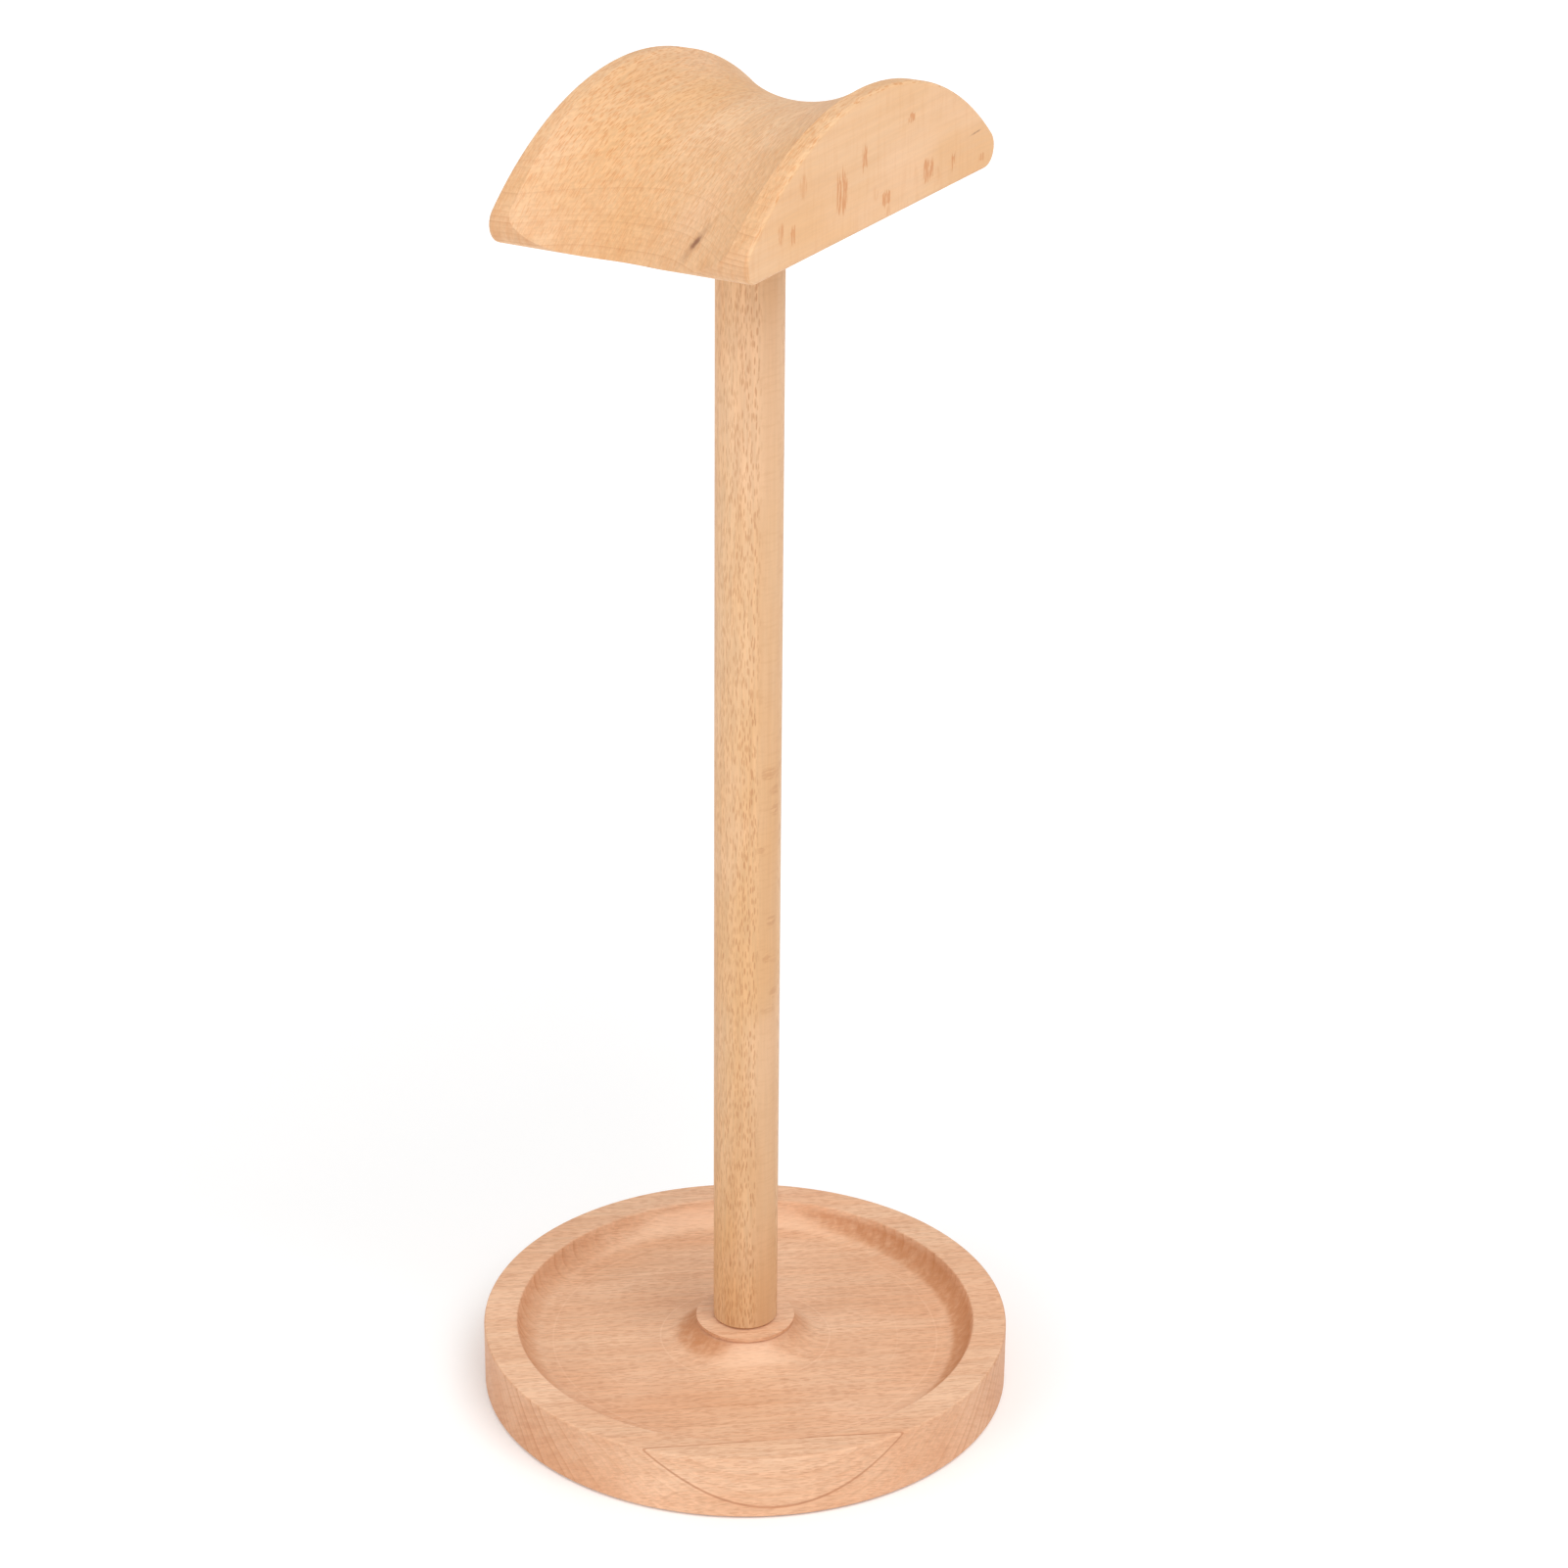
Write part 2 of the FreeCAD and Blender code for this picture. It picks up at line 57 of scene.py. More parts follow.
# The tray's hollow, which gets painted shade and a painted highlight, and the pale
# lines that a turning tool left in it: radius and strength.
RIM_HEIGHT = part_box("base_tray")[1].z
FLOOR_HEIGHT = RIM_HEIGHT - 7.0 * MM
TRAY_MOUTH = 65.5 * MM
TOOL_LINES = ((24.4 * MM, 0.22), (44.0 * MM, 0.09), (55.3 * MM, 0.18))
TOOL_LINE_EDGE = 0.40 * MM
TOOL_LINE_CORE = 0.05 * MM
TRAY_HAIRS = (520.0, 520.0, 90.0)

# How the base and post are cut from their logs: the base's grain is skewed from the
# view's right and its rings lean, the post is turned to the left (degrees).  One growth
# line of the base shows dark: its distance from the middle, and its strength.
BASE_SKEW = 7.0
BASE_LEAN_UP = 0.5785
BASE_LEAN_AWAY = 0.8157
BASE_LINE = (65.0 * MM, 0.60)
POST_TURN = 47.0

# The saddle's near end face, in millimetres from the middle of the stand, and the larger
# ray flecks on it as place along the arch, height, and how tall and wide each is.
END_FACE = -36.5
FLECKS = (
    (-19.1, 359.7, 9.0, 6.0),
    (-7.5, 365.6, 6.0, 3.0),
    (17.5, 370.4, 2.4, 4.0),
    (4.4, 352.9, 3.6, 4.6),
    (27.5, 354.6, 5.0, 6.0),
    (41.4, 353.6, 4.4, 2.6),
    (-44.0, 355.0, 4.0, 2.4),
    (58.0, 351.0, 2.4, 3.0),
)
FLECK_DEPTH = 2.0 * MM

# Dark marks on the saddle as middle, half length and half width, direction and strength:
# a fine drying crack in that end face, and a pin knot low on the hollow with its streak.
CRACK_PLACE = Vector((54.3, END_FACE, 358.4)) * MM
CRACK_DIRECTION = (1.0, 0.0, 0.06)
KNOT_PLACE = Vector((-57.7, -17.4, 353.9)) * MM
KNOT_DIRECTION = (0.62, -0.28, 0.73)
DARK_MARKS = (
    (CRACK_PLACE, (4.2 * MM, 0.32 * MM), CRACK_DIRECTION, 0.50),
    (KNOT_PLACE, (2.5 * MM, 1.3 * MM), KNOT_DIRECTION, 0.78),
    (KNOT_PLACE, (10.0 * MM, 2.2 * MM), KNOT_DIRECTION, 0.24),
)

# Patterns in the wood, as noise cycles per metre along the grain, along the radial
# direction and across both.
DRIFT = (9.0, 28.0, 28.0)
RING_WANDER = (6.0, 60.0, 20.0)
FIBRES = (85.0, 1300.0, 1300.0)
STREAKS = (9.0, 260.0, 260.0)
CLOUDS = (14.0, 32.0, 32.0)
BLOOM = (22.0, 40.0, 40.0)
RAGGED_ENDS = (1500.0, 60.0, 60.0)
STROKES = (1700.0, 240.0, 600.0)
RIBBONS = (1000.0, 110.0, 1000.0)
RAY_ENDS = (160.0, 90.0, 900.0)
KNOT_RAGGED = (900.0, 900.0, 900.0)

# Where each soft pattern starts and is full, in its noise's value.
STREAK_EDGE = (0.30, 0.72)
WARM_EDGE = (0.42, 0.70)
PALE_EDGE = (0.48, 0.70)
FIBRE_EDGE = (0.28, 0.72)
PATCH_EDGE = (0.48, 0.58)
STROKE_EDGE = (0.40, 0.50)
RIBBON_EDGE = (0.45, 0.75)
RAY_END_EDGE = (0.48, 0.66)

# How squarely a face must look along the grain, or across it, to be end grain or quartered.
END_GRAIN_EDGE = (0.25, 0.95)
QUARTERED_EDGE = (0.84, 0.97)

# Kinds of rays: the cell that holds one (length along the grain, along the ray and across
# it), the ray's half size in cells, the share of empty cells, and a number of its own.
FINE_RAYS = ((3.2 * MM, 7.0 * MM, 0.28 * MM), 0.44, 0.0, 0.0)
BOLD_RAYS = ((4.6 * MM, 8.0 * MM, 0.44 * MM), 0.38, 0.30, 5.0)
PATCH_RAYS = ((5.5 * MM, 8.5 * MM, 1.5 * MM), 0.42, 0.55, 9.0)

# How much each pattern colours the wood, from 0 to 1.
WARM_SHARE = 0.55
PALE_SHARE = 0.40
LATE_WOOD_SHARE = 0.35
PATCH_SHARE = 0.8
RIBBON_SHARE = 0.11
RAY_END_SHARE = 0.22
# Quartered darkening is partly painted shade on the saddle's upright end faces.
QUARTERED_DULLING_AND_SHADE = 0.20
END_GRAIN_SHARE = 0.34

# How far the grain wanders, a dark growth line's outer and inner half width, the depth
# of the fibres' relief, and how the oiled surface bends light.
WANDER = 2.0 * MM
LINE_EDGE = 0.30 * MM
LINE_CORE = 0.08 * MM
FIBRE_RELIEF = 0.05 * MM
OIL_IOR = 1.46

# Patterns on metal and rubber, in cycles per metre along the stand's own axes, and the
# depth of each one's relief.
ZINC_MOTTLE = (420.0, 420.0, 420.0)
ZINC_LINES = (60.0, 60.0, 5200.0)
ZINC_RELIEF = 0.02 * MM
ALLOY_GRAINS = (1500.0, 1500.0, 1500.0)
ALLOY_RELIEF = 0.03 * MM
RUBBER_PEBBLES = (2400.0, 2400.0, 2400.0)
RUBBER_DUST = (260.0, 260.0, 260.0)
RUBBER_RELIEF = 0.08 * MM


class Nodes:
    """Short names for building the node tree of a material or the world."""

    def __init__(self, owner):
        owner.use_nodes = True
        self.tree = owner.node_tree
        self.tree.nodes.clear()

    def add(self, kind, inputs=None, **settings):
        """A node with its settings, and its inputs set to values or linked to outputs."""
        node = self.tree.nodes.new(kind)
        for name, value in settings.items():
            setattr(node, name, value)
        for name, value in (inputs or {}).items():
            self.put(node.inputs[name], value)
        return node

    def put(self, socket, value):
        """Links an output to an input, or sets the input to a plain value."""
        if isinstance(value, bpy.types.NodeSocket):
            self.tree.links.new(value, socket)
        else:
            socket.default_value = value

    def math(self, operation, first, second=0.0, third=0.0):
        """One sum on values."""
        inputs = {0: first, 1: second, 2: third}
        return self.add("ShaderNodeMath", inputs, operation=operation).outputs[0]

    def vector(self, operation, first, second):
        """One sum on two vectors."""
        node = self.add("ShaderNodeVectorMath", {0: first, 1: second}, operation=operation)
        return node.outputs["Vector"]

    def dot(self, vector, axis):
        """A vector's length along an axis."""
        inputs = {0: vector, 1: tuple(axis)}
        node = self.add("ShaderNodeVectorMath", inputs, operation="DOT_PRODUCT")
        return node.outputs["Value"]

    def stretch(self, vector, scale, shift=(0.0, 0.0, 0.0)):
        """A vector scaled along each axis and then shifted."""
        inputs = {0: vector, 1: scale, 2: shift}
        return self.add("ShaderNodeVectorMath", inputs, operation="MULTIPLY_ADD").outputs[0]

    def split(self, vector):
        """A vector's parts, by the names X, Y and Z."""
        return self.add("ShaderNodeSeparateXYZ", {"Vector": vector}).outputs

    def step(self, value, low, high, to_low=0.0, to_high=1.0):
        """A smooth step from to_low at low to to_high at high."""
        inputs = {
            "Value": value,
            "From Min": low,
            "From Max": high,
            "To Min": to_low,
            "To Max": to_high,
        }
        node = self.add("ShaderNodeMapRange", inputs, interpolation_type="SMOOTHSTEP")
        return node.outputs["Result"]

    def noise(self, vector, detail=2.0, roughness=0.5, output="Fac"):
        """Soft noise with one cycle per unit."""
        inputs = {"Vector": vector, "Scale": 1.0, "Detail": detail, "Roughness": roughness}
        return self.add("ShaderNodeTexNoise", inputs).outputs[output]

    def cells(self, vector):
        """The distance to the middle of the cell around a point, and the cell's random tint."""
        node = self.add("ShaderNodeTexVoronoi", {"Vector": vector, "Scale": 1.0})
        return node.outputs["Distance"], node.outputs["Color"]

    def mix(self, amount, first, second, blend="MIX"):
        """Two colours mixed."""
        node = self.add("ShaderNodeMix", data_type="RGBA", blend_type=blend)
        self.put(node.inputs[0], amount)
        self.put(node.inputs[6], first)
        self.put(node.inputs[7], second)
        return node.outputs[2]

    def grey(self, value):
        """A grey of a given value."""
        return self.add("ShaderNodeCombineXYZ", {"X": value, "Y": value, "Z": value}).outputs[0]

    def product(self, *factors):
        """The product of several values."""
        result = factors[0]
        for factor in factors[1:]:
            result = self.math("MULTIPLY", result, factor)
        return result

    def inverse(self, value):
        """One less the value."""
        return self.math("SUBTRACT", 1.0, value)

    def object_place(self):
        """The shaded point in the frame shared by all pieces."""
        return self.add("ShaderNodeTexCoord").outputs["Object"]

    def surface(self, tone, rough, relief, relief_strength, relief_depth, more=None):
        """Ends a material's tree with one lit surface and its fine relief."""
        inputs = {"Height": relief, "Strength": relief_strength, "Distance": relief_depth}
        bump = self.add("ShaderNodeBump", inputs).outputs["Normal"]
        inputs = {"Base Color": tone, "Roughness": rough, "Normal": bump, **(more or {})}
        shader = self.add("ShaderNodeBsdfPrincipled", inputs)
        self.add("ShaderNodeOutputMaterial", {"Surface": shader.outputs[0]})


class Wood:
    """A shaded point's place in one piece of wood, and how the surface cuts the grain there."""

    def __init__(self, n, grain, radial, seed):
        grain = Vector(grain).normalized()
        radial = (Vector(radial) - grain * Vector(radial).dot(grain)).normalized()
        across = grain.cross(radial)
        self.n = n
        self.seed = seed
        self.grain = grain
        self.radial = radial
        self.across = across
        self.place = n.object_place()
        along = [n.dot(self.place, axis) for axis in (grain, radial, across)]
        straight = n.add("ShaderNodeCombineXYZ", dict(zip("XYZ", along))).outputs[0]

        # A slow wander, so that no line of grain is ruler-straight.
        drift = n.noise(n.stretch(straight, DRIFT, self.shift("XZ")), 1.0, output="Color")
        bend = n.stretch(drift, (0.0, WANDER, WANDER), (0.0, -WANDER / 2, -WANDER / 2))
        self.point = n.vector("ADD", straight, bend)

        self.facing = n.add("ShaderNodeNewGeometry").outputs["Normal"]
        self.along_grain = n.dot(self.facing, grain)
        self.end_grain = n.step(n.math("ABSOLUTE", self.along_grain), *END_GRAIN_EDGE)
        self.quartered = n.step(n.math("ABSOLUTE", n.dot(self.facing, across)), *QUARTERED_EDGE)
        self.clouds = self.noise(CLOUDS, "Z")
        self.fibres = self.noise(FIBRES, "Y", 3.0, 0.6)

    def shift(self, axes):
        """The piece's seed along the named axes."""
        return tuple(self.seed if axis in axes else 0.0 for axis in "XYZ")

    def noise(self, cycles, seeded="", detail=2.0, roughness=0.5):
        """Soft noise drawn out with the grain and shifted by the seed along some axes."""
        return self.n.noise(
            self.n.stretch(self.point, cycles, self.shift(seeded)), detail, roughness
        )


def colour(red, green, blue):
    """An opaque colour from linear parts."""
    return (red, green, blue, 1.0)


def shaded(palette, factor):
    """The same palette, evenly darker or lighter."""
    return {
        name: colour(*(part * factor for part in tone[:3])) for name, tone in palette.items()
    }


# Linear colours of the three pieces of beech.
YELLOW_BEECH = {
    "light": colour(0.815, 0.525, 0.298),
    "mid": colour(0.755, 0.455, 0.240),
    "warm": colour(0.750, 0.410, 0.165),
    "dark": colour(0.520, 0.250, 0.110),
    "ray": colour(0.430, 0.145, 0.035),
    "knot": colour(0.200, 0.070, 0.035),
    "pale": colour(0.870, 0.570, 0.360),
}
POST_BEECH = shaded(YELLOW_BEECH, 0.93)
SADDLE_BEECH = {**YELLOW_BEECH, "ray": colour(0.580, 0.190, 0.030)}
BASE_BEECH = {
    "light": colour(0.830, 0.520, 0.330),
    "mid": colour(0.780, 0.450, 0.270),
    "warm": colour(0.770, 0.405, 0.225),
    "dark": colour(0.510, 0.195, 0.065),
    "ray": colour(0.420, 0.140, 0.050),
    "knot": colour(0.200, 0.070, 0.035),
    "pale": colour(0.960, 0.640, 0.430),
}

# Linear colours of the fixings and foot pads, duller and brighter.
ZINC_TONES = (colour(0.52, 0.53, 0.55), colour(0.68, 0.69, 0.70))
ALLOY_TONES = (colour(0.50, 0.38, 0.17), colour(0.66, 0.53, 0.27))
RUBBER_TONES = (colour(0.018, 0.018, 0.020), colour(0.040, 0.039, 0.038))


def plain_wood(n, wood, palette):
    """The wood's slowly changing tone, before rings, fibres and rays."""
    streaks = wood.noise(STREAKS, "X", 3.0, 0.55)
    tone = n.mix(n.step(streaks, *STREAK_EDGE), palette["light"], palette["mid"])
    warm = n.product(n.step(wood.clouds, *WARM_EDGE), WARM_SHARE)
    tone = n.mix(warm, tone, palette["warm"])
    pale = n.product(n.step(wood.noise(BLOOM, "XYZ"), *PALE_EDGE), PALE_SHARE)
    return n.mix(pale, tone, palette["pale"])


def growth_rings(n, wood, tone, palette, rings, lines):
    """Rings as nearly flat shells round a far-off heart, and single dark lines along them."""
    heart, ring_gap, ring_strength = rings
    parts = n.split(wood.point)
    depth = n.math("ADD", parts["Y"], heart)
    squares = n.math("ADD", n.math("POWER", depth, 2.0), n.math("POWER", parts["Z"], 2.0))
    radius = n.math("SQRT", squares)
    uneven = n.math("MULTIPLY", wood.noise(RING_WANDER, "XY"), 2.0)
    phase = n.math("MULTIPLY_ADD", radius, 1.0 / ring_gap, uneven)
    late = n.math("FRACT", phase)
    number = n.math("FLOOR", phase)
    vary = n.add("ShaderNodeTexWhiteNoise", {"W": number}, noise_dimensions="1D").outputs["Value"]
    edge = n.product(n.math("POWER", late, 7.0), n.step(late, 1.0, 0.95))
    edge = n.product(edge, n.step(vary, 0.3, 1.0, 0.2, 1.0))
    ramp = n.product(late, n.math("MULTIPLY_ADD", vary, 0.6, 0.4))

    # Rings show least on quartered faces and most on end grain.
    look = n.math("MULTIPLY_ADD", wood.quartered, -0.85 * ring_strength, ring_strength)
    ends = n.product(wood.end_grain, wood.end_grain)
    look = n.math("MULTIPLY_ADD", ends, 4.0 * ring_strength, look)
    tone = n.mix(n.product(ramp, look, LATE_WOOD_SHARE), tone, palette["dark"])
    tone = n.mix(n.product(edge, look), tone, palette["dark"])
    for distance, strength in lines:
        gap = n.math("ABSOLUTE", n.math("SUBTRACT", radius, heart + distance))
        tone = n.mix(n.step(gap, LINE_EDGE, LINE_CORE, 0.0, strength), tone, palette["ray"])
    return tone


def rays(n, wood, kind):
    """How much of a surface point lies in a ray: thin flat spindles that run with the grain."""
    cell, reach, empty, own_number = kind
    scale = tuple(1.0 / side for side in cell)
    seed = wood.seed + own_number
    distance, tint = n.cells(n.stretch(wood.point, scale, (seed, seed * 1.7, seed * 2.3)))
    inside = n.step(distance, reach, reach * 0.6)
    chance = n.add("ShaderNodeSeparateColor", {"Color": tint}).outputs["Red"]
    shown = n.step(chance, empty, min(empty + 0.3, 1.0))
    return n.product(inside, shown)


def single_fleck(n, wood, centre, half_sizes, ragged):
    """One broad ray cut lengthways: 1 inside a box with uneven ends, 0 outside it."""
    offset = n.vector("SUBTRACT", wood.place, centre)
    reaches = []
    for axis, half_size in zip((wood.radial, wood.grain, wood.across), half_sizes):
        part = n.math("ABSOLUTE", n.dot(offset, axis))
        reaches.append(n.math("DIVIDE", part, half_size))
    tall = n.math("MULTIPLY_ADD", n.math("SUBTRACT", ragged, 0.5), 2.4, reaches[0])
    farthest = n.math("MAXIMUM", n.math("MAXIMUM", tall, reaches[1]), reaches[2])
    return n.step(farthest, 1.0, 0.8)


def all_rays(n, wood, ray_look, flecks):
    """Dense fine and bold spindles on flat-sawn faces, and broken flecks on quartered ones."""
    fine_strength, bold_strength, fleck_strength = ray_look
    fine = n.product(rays(n, wood, FINE_RAYS), fine_strength)
    bold = n.product(rays(n, wood, BOLD_RAYS), bold_strength)
    spindles = n.math("MAXIMUM", fine, bold)
    off_ends = n.math("MULTIPLY_ADD", wood.end_grain, -0.75, 1.0)
    spindles = n.product(spindles, n.inverse(wood.quartered), off_ends)

    patches = n.product(rays(n, wood, PATCH_RAYS), n.step(wood.clouds, *PATCH_EDGE), PATCH_SHARE)
    ragged = wood.noise(RAGGED_ENDS, "X", 1.0)
    for centre, half_sizes in flecks:
        patches = n.math("MAXIMUM", patches, single_fleck(n, wood, centre, half_sizes, ragged))
    strokes = n.step(wood.noise(STROKES), *STROKE_EDGE)
    broken = n.product(
        patches, strokes, wood.quartered, n.inverse(wood.end_grain), fleck_strength
    )
    return n.math("MAXIMUM", spindles, broken)


def knot(n, place, centre, size, direction, strength):
    """A small dark pin knot drawn out along one direction, strongest at its heart."""
    half_length, half_width = size
    lengthwise = Vector(direction).normalized()
    side = lengthwise.orthogonal().normalized()
    other = lengthwise.cross(side)
    offset = n.vector("SUBTRACT", place, centre)
    squares = []
    for axis, reach in ((lengthwise, half_length), (side, half_width), (other, half_width)):
        part = n.math("DIVIDE", n.dot(offset, axis), reach)
        squares.append(n.math("POWER", part, 2.0))
    distance = n.math("SQRT", n.math("ADD", n.math("ADD", squares[0], squares[1]), squares[2]))
    ragged = n.noise(n.stretch(place, KNOT_RAGGED))
    distance = n.math("MULTIPLY_ADD", n.math("SUBTRACT", ragged, 0.5), 0.7, distance)
    return n.step(distance, 1.05, 0.25, 0.0, strength)


def beech(
    name, grain, radial, palette, seed, rings, ray_look, lines=(), flecks=(), knots=(), painted_light_and_marks=None
):
    """Beech as a solid: growth rings, rays and fibres that run through the whole piece.

    grain and radial are directions in the row frame.  rings is how far the
    tree's heart lies along the radial direction, the gap between rings (both
    in metres) and their strength.  ray_look is the strength of the fine and
    the bold spindles on flat-sawn faces and of the flecks on quartered ones.
    lines are single dark growth lines: (distance along the radial direction,
    strength).  flecks are single larger ones: (centre, half sizes along the
    radial direction, the grain and across both).  knots are (centre, half
    sizes, direction, strength).  The last argument may tint the tone further;
    for the base it adds painted shade, a painted highlight and tool lines.
    """
    material = bpy.data.materials.new(name)
    n = Nodes(material)
    wood = Wood(n, grain, radial, seed)
    tone = plain_wood(n, wood, palette)
    tone = growth_rings(n, wood, tone, palette, rings, lines)
    fibre_look = n.math("MULTIPLY_ADD", wood.quartered, -0.6, 1.0)
    fibre_tone = n.grey(n.step(wood.fibres, *FIBRE_EDGE, 0.90, 1.05))
    tone = n.mix(fibre_look, tone, fibre_tone, "MULTIPLY")

    ray = all_rays(n, wood, ray_look, flecks)
    tone = n.mix(ray, tone, palette["ray"])
    ribbons = n.step(wood.noise(RIBBONS, "X"), *RIBBON_EDGE)
    tone = n.mix(n.product(ribbons, wood.quartered, RIBBON_SHARE), tone, palette["ray"])
    ray_ends = n.step(wood.noise(RAY_ENDS, "Y"), *RAY_END_EDGE)
    tone = n.mix(n.product(ray_ends, wood.end_grain, RAY_END_SHARE), tone, palette["ray"])

    # Quartered faces are a little duller, and this darkening also serves as painted shade on
    # the saddle's upright end faces; end grain drinks more oil and is deeper.
    tone = n.mix(n.product(wood.quartered, QUARTERED_DULLING_AND_SHADE), tone, palette["dark"])
    tone = n.mix(n.product(wood.end_grain, END_GRAIN_SHARE), tone, palette["dark"])
    # For the base this adds painted shade, a painted highlight and tool lines to the tray.
    if painted_light_and_marks is not None:
        tone = painted_light_and_marks(n, wood, tone, palette)
    for centre, size, direction, strength in knots:
        tone = n.mix(knot(n, wood.place, centre, size, direction, strength), tone, palette["knot"])

    rough = n.step(wood.fibres, 0.2, 0.8, 0.50, 0.60)
    rough = n.math("MULTIPLY_ADD", ray, -0.10, rough)
    relief = n.math("MULTIPLY_ADD", ray, -0.6, n.product(wood.fibres, 0.6))
    n.surface(tone, rough, relief, 0.3, FIBRE_RELIEF, {"IOR": OIL_IOR})
    return material


def tray_tool_lines_and_painted_light(n, wood, tone, palette):
    """The tray's tone: darker end grain, painted shade and a painted highlight on its slopes, and
    pale tool lines.
    """
    parts = n.split(wood.place)
    squares = n.math("ADD", n.math("POWER", parts["X"], 2.0), n.math("POWER", parts["Y"], 2.0))
    reach = n.math("SQRT", squares)
    inside = n.step(reach, TRAY_MOUTH + 0.3 * MM, TRAY_MOUTH - 1.0 * MM)
    below = n.step(parts["Z"], RIM_HEIGHT - 0.4 * MM, RIM_HEIGHT - 2.5 * MM)
    above = n.step(parts["Z"], FLOOR_HEIGHT - 0.8 * MM, FLOOR_HEIGHT - 0.4 * MM)
    hollow = n.product(inside, below, above)
    tilted = n.step(n.dot(wood.facing, (0.0, 0.0, 1.0)), 0.985, 0.88)

    # Slopes that face against the grain show torn end grain; they also face left, away from the
    # key light, so painted shade is added there.
    hairs = n.step(n.noise(n.stretch(wood.place, TRAY_HAIRS), 3.0), 0.30, 0.66, 0.55, 1.1)
    shade_side_end_grain = n.product(n.step(wood.along_grain, -0.12, -0.52), hairs)
    along = n.product(n.step(wood.along_grain, 0.25, 0.55), 0.12)
    slope_end_grain_and_shade = n.math("MULTIPLY_ADD", shade_side_end_grain, 0.66, along)
    # A little painted shade also covers the whole hollow.
    end_grain_and_painted_shade = n.product(hollow, n.math("MULTIPLY_ADD", slope_end_grain_and_shade, tilted, 0.05))
    tone = n.mix(end_grain_and_painted_shade, tone, palette["dark"])
    # Slopes that face across the grain, chiefly the front of the boss's flare, get a painted
    # highlight.
    painted_highlight_mask = n.step(n.math("ABSOLUTE", wood.along_grain), 0.36, 0.20)
    tone = n.mix(n.product(hollow, tilted, painted_highlight_mask, 0.34), tone, palette["pale"])
    for radius, strength in TOOL_LINES:
        gap = n.math("ABSOLUTE", n.math("SUBTRACT", reach, radius))
        line = n.step(gap, TOOL_LINE_EDGE, TOOL_LINE_CORE, 0.0, strength)
        tone = n.mix(n.product(line, hollow), tone, palette["pale"])
    return tone


def zinc():
    """Bright zinc plate: faintly mottled, with fine turning lines."""
    material = bpy.data.materials.new("zinc_steel")
    n = Nodes(material)
    place = n.object_place()
    mottle = n.noise(n.stretch(place, ZINC_MOTTLE), 3.0)
    lines = n.noise(n.stretch(place, ZINC_LINES))
    tone = n.mix(mottle, *ZINC_TONES)
    rough = n.step(mottle, 0.3, 0.7, 0.26, 0.40)
    n.surface(tone, rough, lines, 0.25, ZINC_RELIEF, {"Metallic": 1.0})
    return material


def insert_alloy():
    """Yellowish die-cast zinc alloy with a slightly grainy skin."""
    material = bpy.data.materials.new("insert_alloy")
    n = Nodes(material)
    grainy = n.noise(n.stretch(n.object_place(), ALLOY_GRAINS), 3.0)
    tone = n.mix(grainy, *ALLOY_TONES)
    rough = n.step(grainy, 0.3, 0.7, 0.32, 0.48)
    n.surface(tone, rough, grainy, 0.3, ALLOY_RELIEF, {"Metallic": 1.0})
    return material


def pad_rubber():
    """Black sponge rubber with a fine pebbled skin and a little dust."""
    material = bpy.data.materials.new("pad_rubber")
    n = Nodes(material)
    place = n.object_place()
    pebbles, _ = n.cells(n.stretch(place, RUBBER_PEBBLES))
    dust = n.noise(n.stretch(place, RUBBER_DUST), 3.0)
    tone = n.mix(n.step(dust, 0.45, 0.8), *RUBBER_TONES)
    rough = n.step(pebbles, 0.1, 0.7, 0.72, 0.86)
    n.surface(tone, rough, pebbles, 0.5, RUBBER_RELIEF)
    return material


def base_beech():
    """Pinkish beech, its grain nearly across the view, with painted shade and a highlight in its
    tray.
    """
    heading = math.radians(CAMERA_HEADING)
    to_right = Vector((math.cos(heading), -math.sin(heading), 0.0))
    away = Vector((math.sin(heading), math.cos(heading), 0.0))
    skew = math.radians(BASE_SKEW)
    grain = to_right * math.cos(skew) + away * math.sin(skew)
    back = away * math.cos(skew) - to_right * math.sin(skew)
    return beech(
        "beech_base",
        grain=grain,
        radial=Vector((0.0, 0.0, BASE_LEAN_UP)) - back * BASE_LEAN_AWAY,
        palette=BASE_BEECH,
        seed=3.0,
        rings=(0.50, 2.5 * MM, 0.20),
        ray_look=(0.34, 0.30, 0.35),
        lines=(BASE_LINE,),
        # The tray gets painted shade, a painted highlight and tool lines.
        painted_light_and_marks=tray_tool_lines_and_painted_light,
    )


def post_beech():
    """Yellow beech that stands upright, its flat-sawn side turned to the left of the view."""
    turned = math.radians(CAMERA_HEADING + POST_TURN)
    return beech(
        "beech_post",
        grain=(0.0, 0.0, 1.0),
        radial=(-math.sin(turned), -math.cos(turned), 0.0),
        palette=POST_BEECH,
        seed=11.0,
        rings=(0.12, 3.4 * MM, 0.14),
        ray_look=(0.52, 0.34, 0.35),
    )


def saddle_beech():
    """Yellow beech that lies along the arch, with its own flecks, pin knot and crack."""
    return beech(
        "beech_saddle",
        grain=(1.0, 0.0, 0.0),
        radial=(0.0, 0.0, 1.0),
        palette=SADDLE_BEECH,
        seed=23.0,
        rings=(0.10, 1.25 * MM, 0.22),
        ray_look=(0.56, 0.30, 0.72),
        flecks=[
            (Vector((along, END_FACE, height)) * MM, (tall / 2 * MM, wide / 2 * MM, FLECK_DEPTH))
            for along, height, tall, wide in FLECKS
        ],
        knots=DARK_MARKS,
    )


def paint(node_names, material):
    """Gives CAD nodes one material."""
    for node_name in node_names:
        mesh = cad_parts[node_name].data
        mesh.materials.clear()
        mesh.materials.append(material)


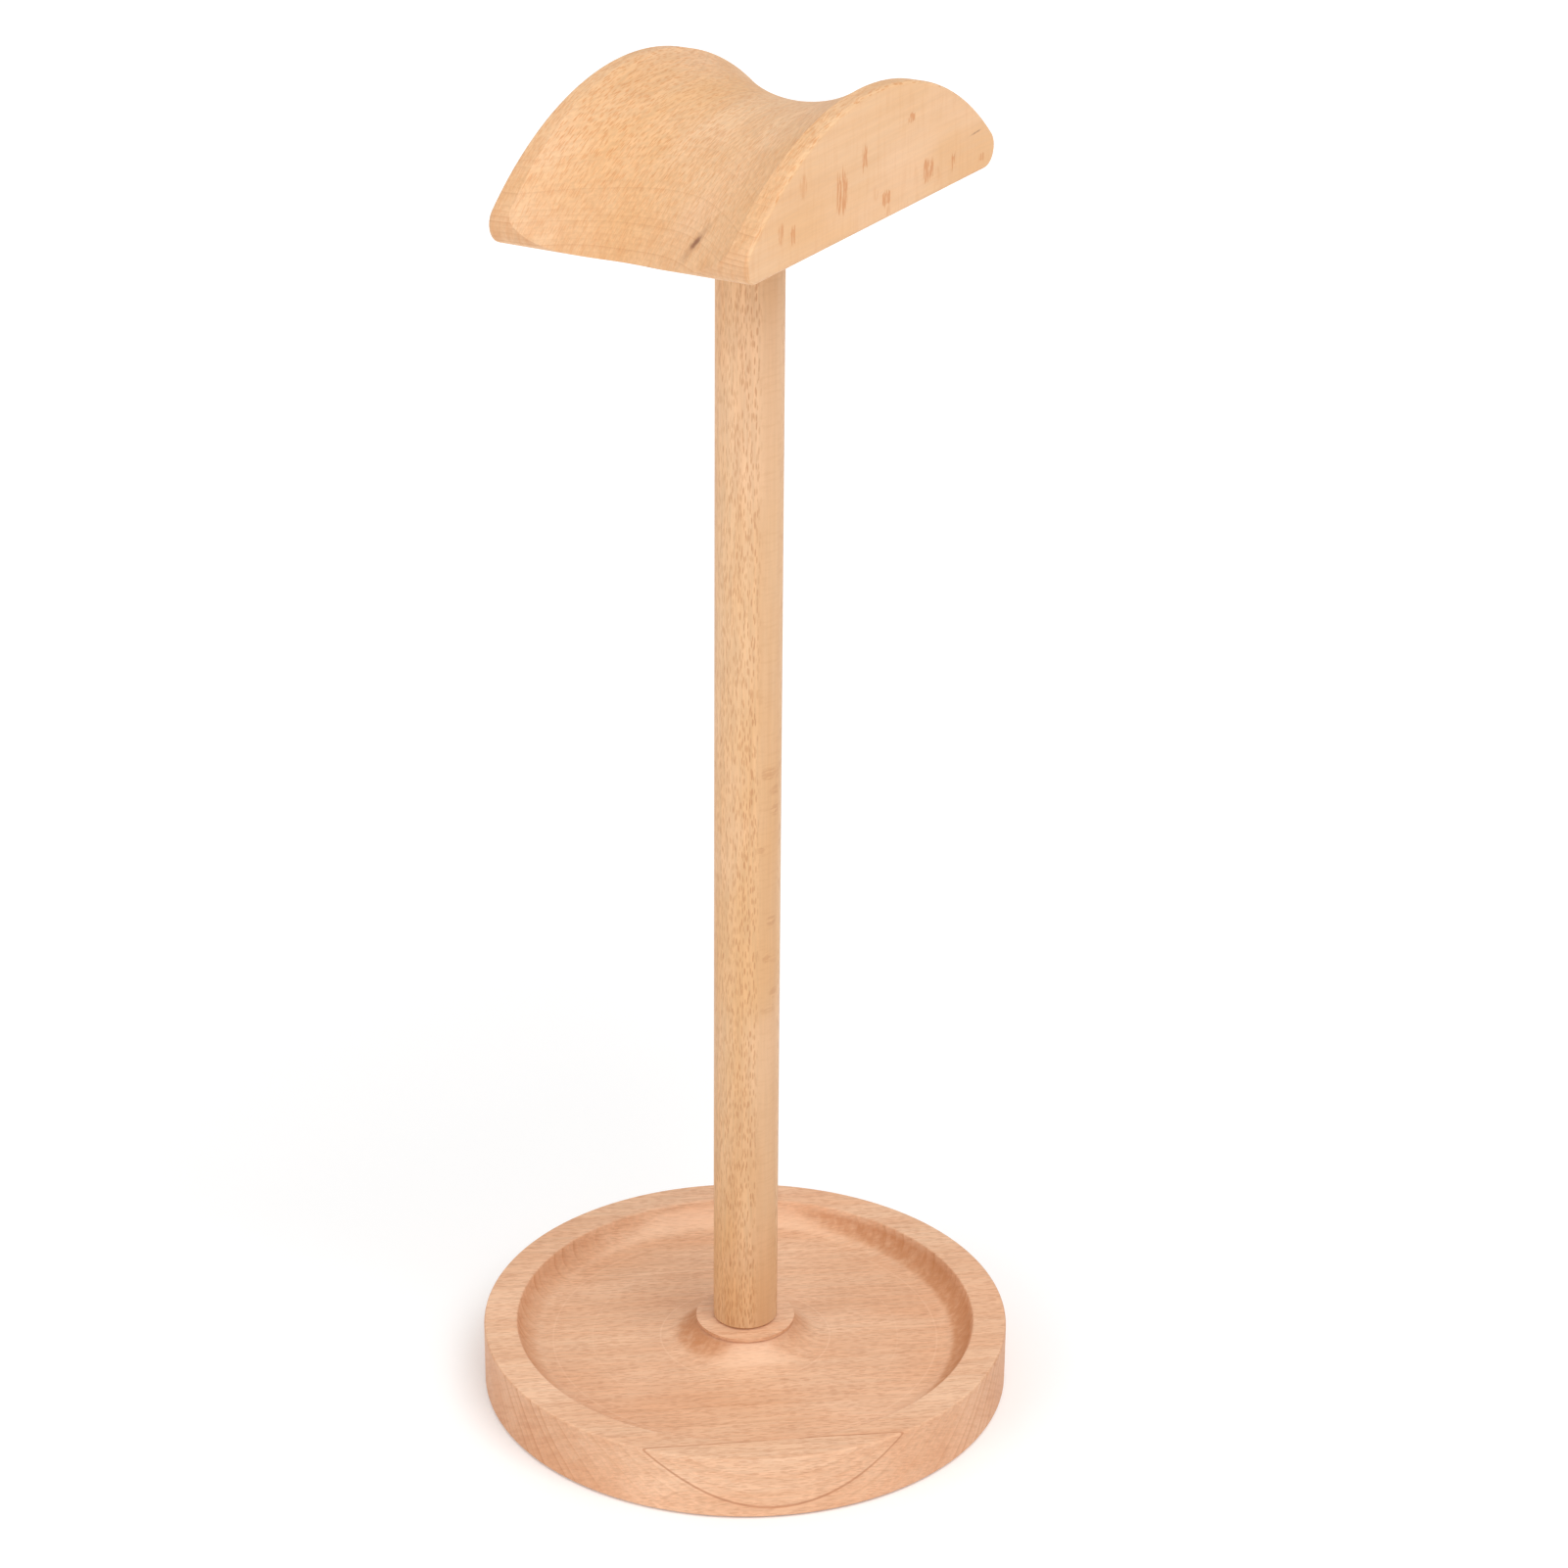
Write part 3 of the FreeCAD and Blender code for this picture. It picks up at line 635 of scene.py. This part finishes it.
def dress():
    """A material for every CAD node."""
    paint(["base_tray"], base_beech())
    paint(["post"], post_beech())
    paint(["saddle"], saddle_beech())
    paint(["base_screw", "base_washer", "hanger_bolt"], zinc())
    paint(["post_insert", "saddle_insert"], insert_alloy())
    paint([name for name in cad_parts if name.startswith("foot_pad")], pad_rubber())


def smooth_shading():
    """Smooth shading everywhere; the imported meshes' own normals keep real edges crisp."""
    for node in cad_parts.values():
        node.data.shade_smooth()


def lay_floor():
    """A wide pale floor, not part of the object."""
    bpy.ops.mesh.primitive_plane_add(size=FLOOR_WIDTH, location=(0.0, 0.0, 0.0))
    floor = bpy.context.object
    floor.name = "studio_floor"
    material = bpy.data.materials.new("studio_floor")
    n = Nodes(material)
    centre_gap = n.add("ShaderNodeVectorMath", {0: n.object_place()}, operation="LENGTH")
    reach = centre_gap.outputs["Value"]
    shader = n.add(
        "ShaderNodeBsdfPrincipled",
        {
            "Base Color": colour(*FLOOR_WHITE),
            "Roughness": 0.9,
            "Emission Color": colour(*WHITE),
            "Emission Strength": n.step(reach, GLOW_START, GLOW_END, GLOW_NEAR, GLOW_FAR),
        },
    )
    n.add("ShaderNodeOutputMaterial", {"Surface": shader.outputs[0]})
    floor.data.materials.append(material)


def hang_lamp(name, place, width, power):
    """A large soft square lamp that looks at the stand."""
    lamp = bpy.data.lights.new(name, "AREA")
    lamp.shape = "SQUARE"
    lamp.size = width
    lamp.energy = power
    lamp.color = WHITE
    holder = bpy.data.objects.new(name, lamp)
    holder.location = place
    line_of_sight = Vector(LAMP_TARGET) - Vector(place)
    holder.rotation_euler = line_of_sight.to_track_quat("-Z", "Y").to_euler()
    bpy.context.scene.collection.objects.link(holder)


def light_studio():
    """White surroundings, dimmer as a light than as a backdrop, and the soft lamps."""
    world = bpy.data.worlds.new("studio")
    n = Nodes(world)
    backdrop = n.add("ShaderNodeLightPath").outputs["Is Camera Ray"]
    strength = n.math("MULTIPLY_ADD", backdrop, 1.0 - SURROUND_LIGHT, SURROUND_LIGHT)
    background = n.add("ShaderNodeBackground", {"Color": colour(*WHITE), "Strength": strength})
    n.add("ShaderNodeOutputWorld", {"Surface": background.outputs[0]})
    bpy.context.scene.world = world
    for name, place, width, power in LAMPS:
        hang_lamp(name, place, width, power)


def place_camera():
    """A long lens from the front left, looking down on the stand."""
    camera = bpy.data.cameras.new("camera")
    camera.lens = CAMERA_LENS
    camera.sensor_width = SENSOR_WIDTH
    camera.clip_start = CLIP_START
    camera.clip_end = CLIP_END
    holder = bpy.data.objects.new("camera", camera)
    turn = Matrix.Rotation(-math.radians(CAMERA_HEADING), 4, "Z")
    pitch = Matrix.Rotation(math.radians(90.0 - CAMERA_DOWN), 4, "X")
    tilt = Matrix.Rotation(math.radians(CAMERA_TILT), 4, "Z")
    holder.matrix_world = Matrix.Translation(CAMERA_PLACE) @ turn @ pitch @ tilt
    bpy.context.scene.collection.objects.link(holder)
    bpy.context.scene.camera = holder


def set_film():
    """Plain colour handling, so that a white floor stays white."""
    settings = bpy.context.scene.view_settings
    settings.view_transform = "Standard"
    settings.look = "None"
    settings.exposure = 0.0
    settings.gamma = 1.0


smooth_shading()
dress()
lay_floor()
light_studio()
place_camera()
set_film()
